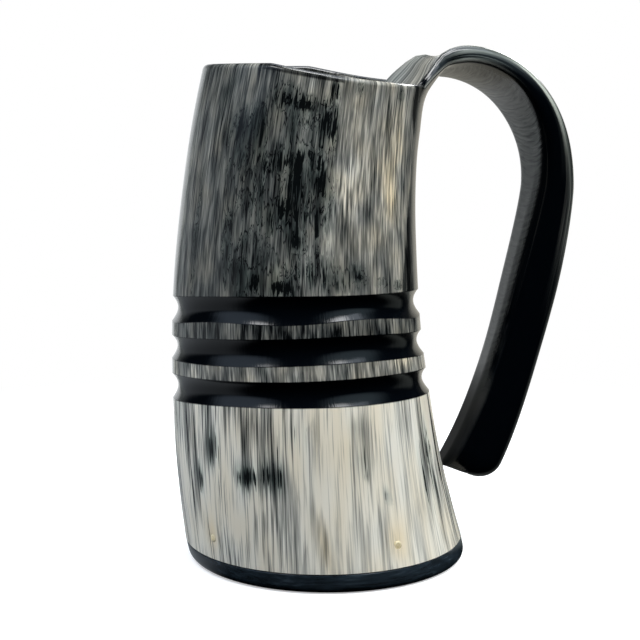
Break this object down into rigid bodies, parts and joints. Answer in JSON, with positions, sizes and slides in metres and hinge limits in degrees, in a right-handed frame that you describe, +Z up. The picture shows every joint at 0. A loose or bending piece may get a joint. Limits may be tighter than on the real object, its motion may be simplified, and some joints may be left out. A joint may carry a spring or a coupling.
{
  "type": "horn mug",
  "caption": "Drinking mug of carved natural horn on a black foot plate, with a handle bent from the same horn and polished rings round its middle.",
  "frame": {"origin": "centre of the standing face under the foot plate", "axes": "+Z up, +X from the mug towards its handle"},
  "size_m": [0.1284, 0.086, 0.1556],
  "materials": {
    "horn": "polished natural horn, dark and streaked above the rings, cream below them, black handle",
    "black_horn": "polished black horn",
    "glue": "cured glue",
    "plug_wood": "turned plain wood",
    "resin": "poured amber resin, glossy",
    "pin_wood": "pale split wood, sanded flush"
  },
  "bodies": {
    "root": {"horn_body": "horn", "base_plate": "black_horn", "glue_ring": "glue", "base_plug": "plug_wood", "floor_seal": "resin", "plug_pin_1": "pin_wood", "plug_pin_2": "pin_wood", "plug_pin_3": "pin_wood", "plug_pin_4": "pin_wood"}
  },
  "joints": []
}
